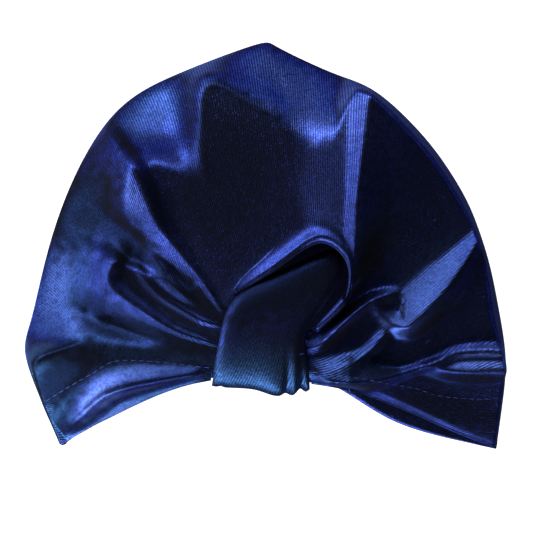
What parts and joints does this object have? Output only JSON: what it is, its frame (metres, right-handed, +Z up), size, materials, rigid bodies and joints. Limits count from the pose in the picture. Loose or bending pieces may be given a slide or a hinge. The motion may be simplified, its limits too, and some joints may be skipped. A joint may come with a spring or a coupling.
{
  "type": "baby turban hat",
  "caption": "Soft rounded baby cap of ribbed velvet with its front gathered into a folded knot band, open at the hem.",
  "frame": {"origin": "centre of the bounding box at its bottom, on the surface that the hat lies on", "axes": "+X across the hat from its left hem corner to its right one, +Y from the hem to the crown, +Z up out of the front with the knot"},
  "size_m": [0.2, 0.1672, 0.0426],
  "materials": {
    "panel_velvet": "ribbed stretch velvet with a soft sheen",
    "knot_velvet": "ribbed stretch velvet with a soft sheen, folded double"
  },
  "bodies": {
    "root": {"front_panel": "panel_velvet", "back_panel": "panel_velvet", "knot_band": "knot_velvet"}
  },
  "joints": []
}
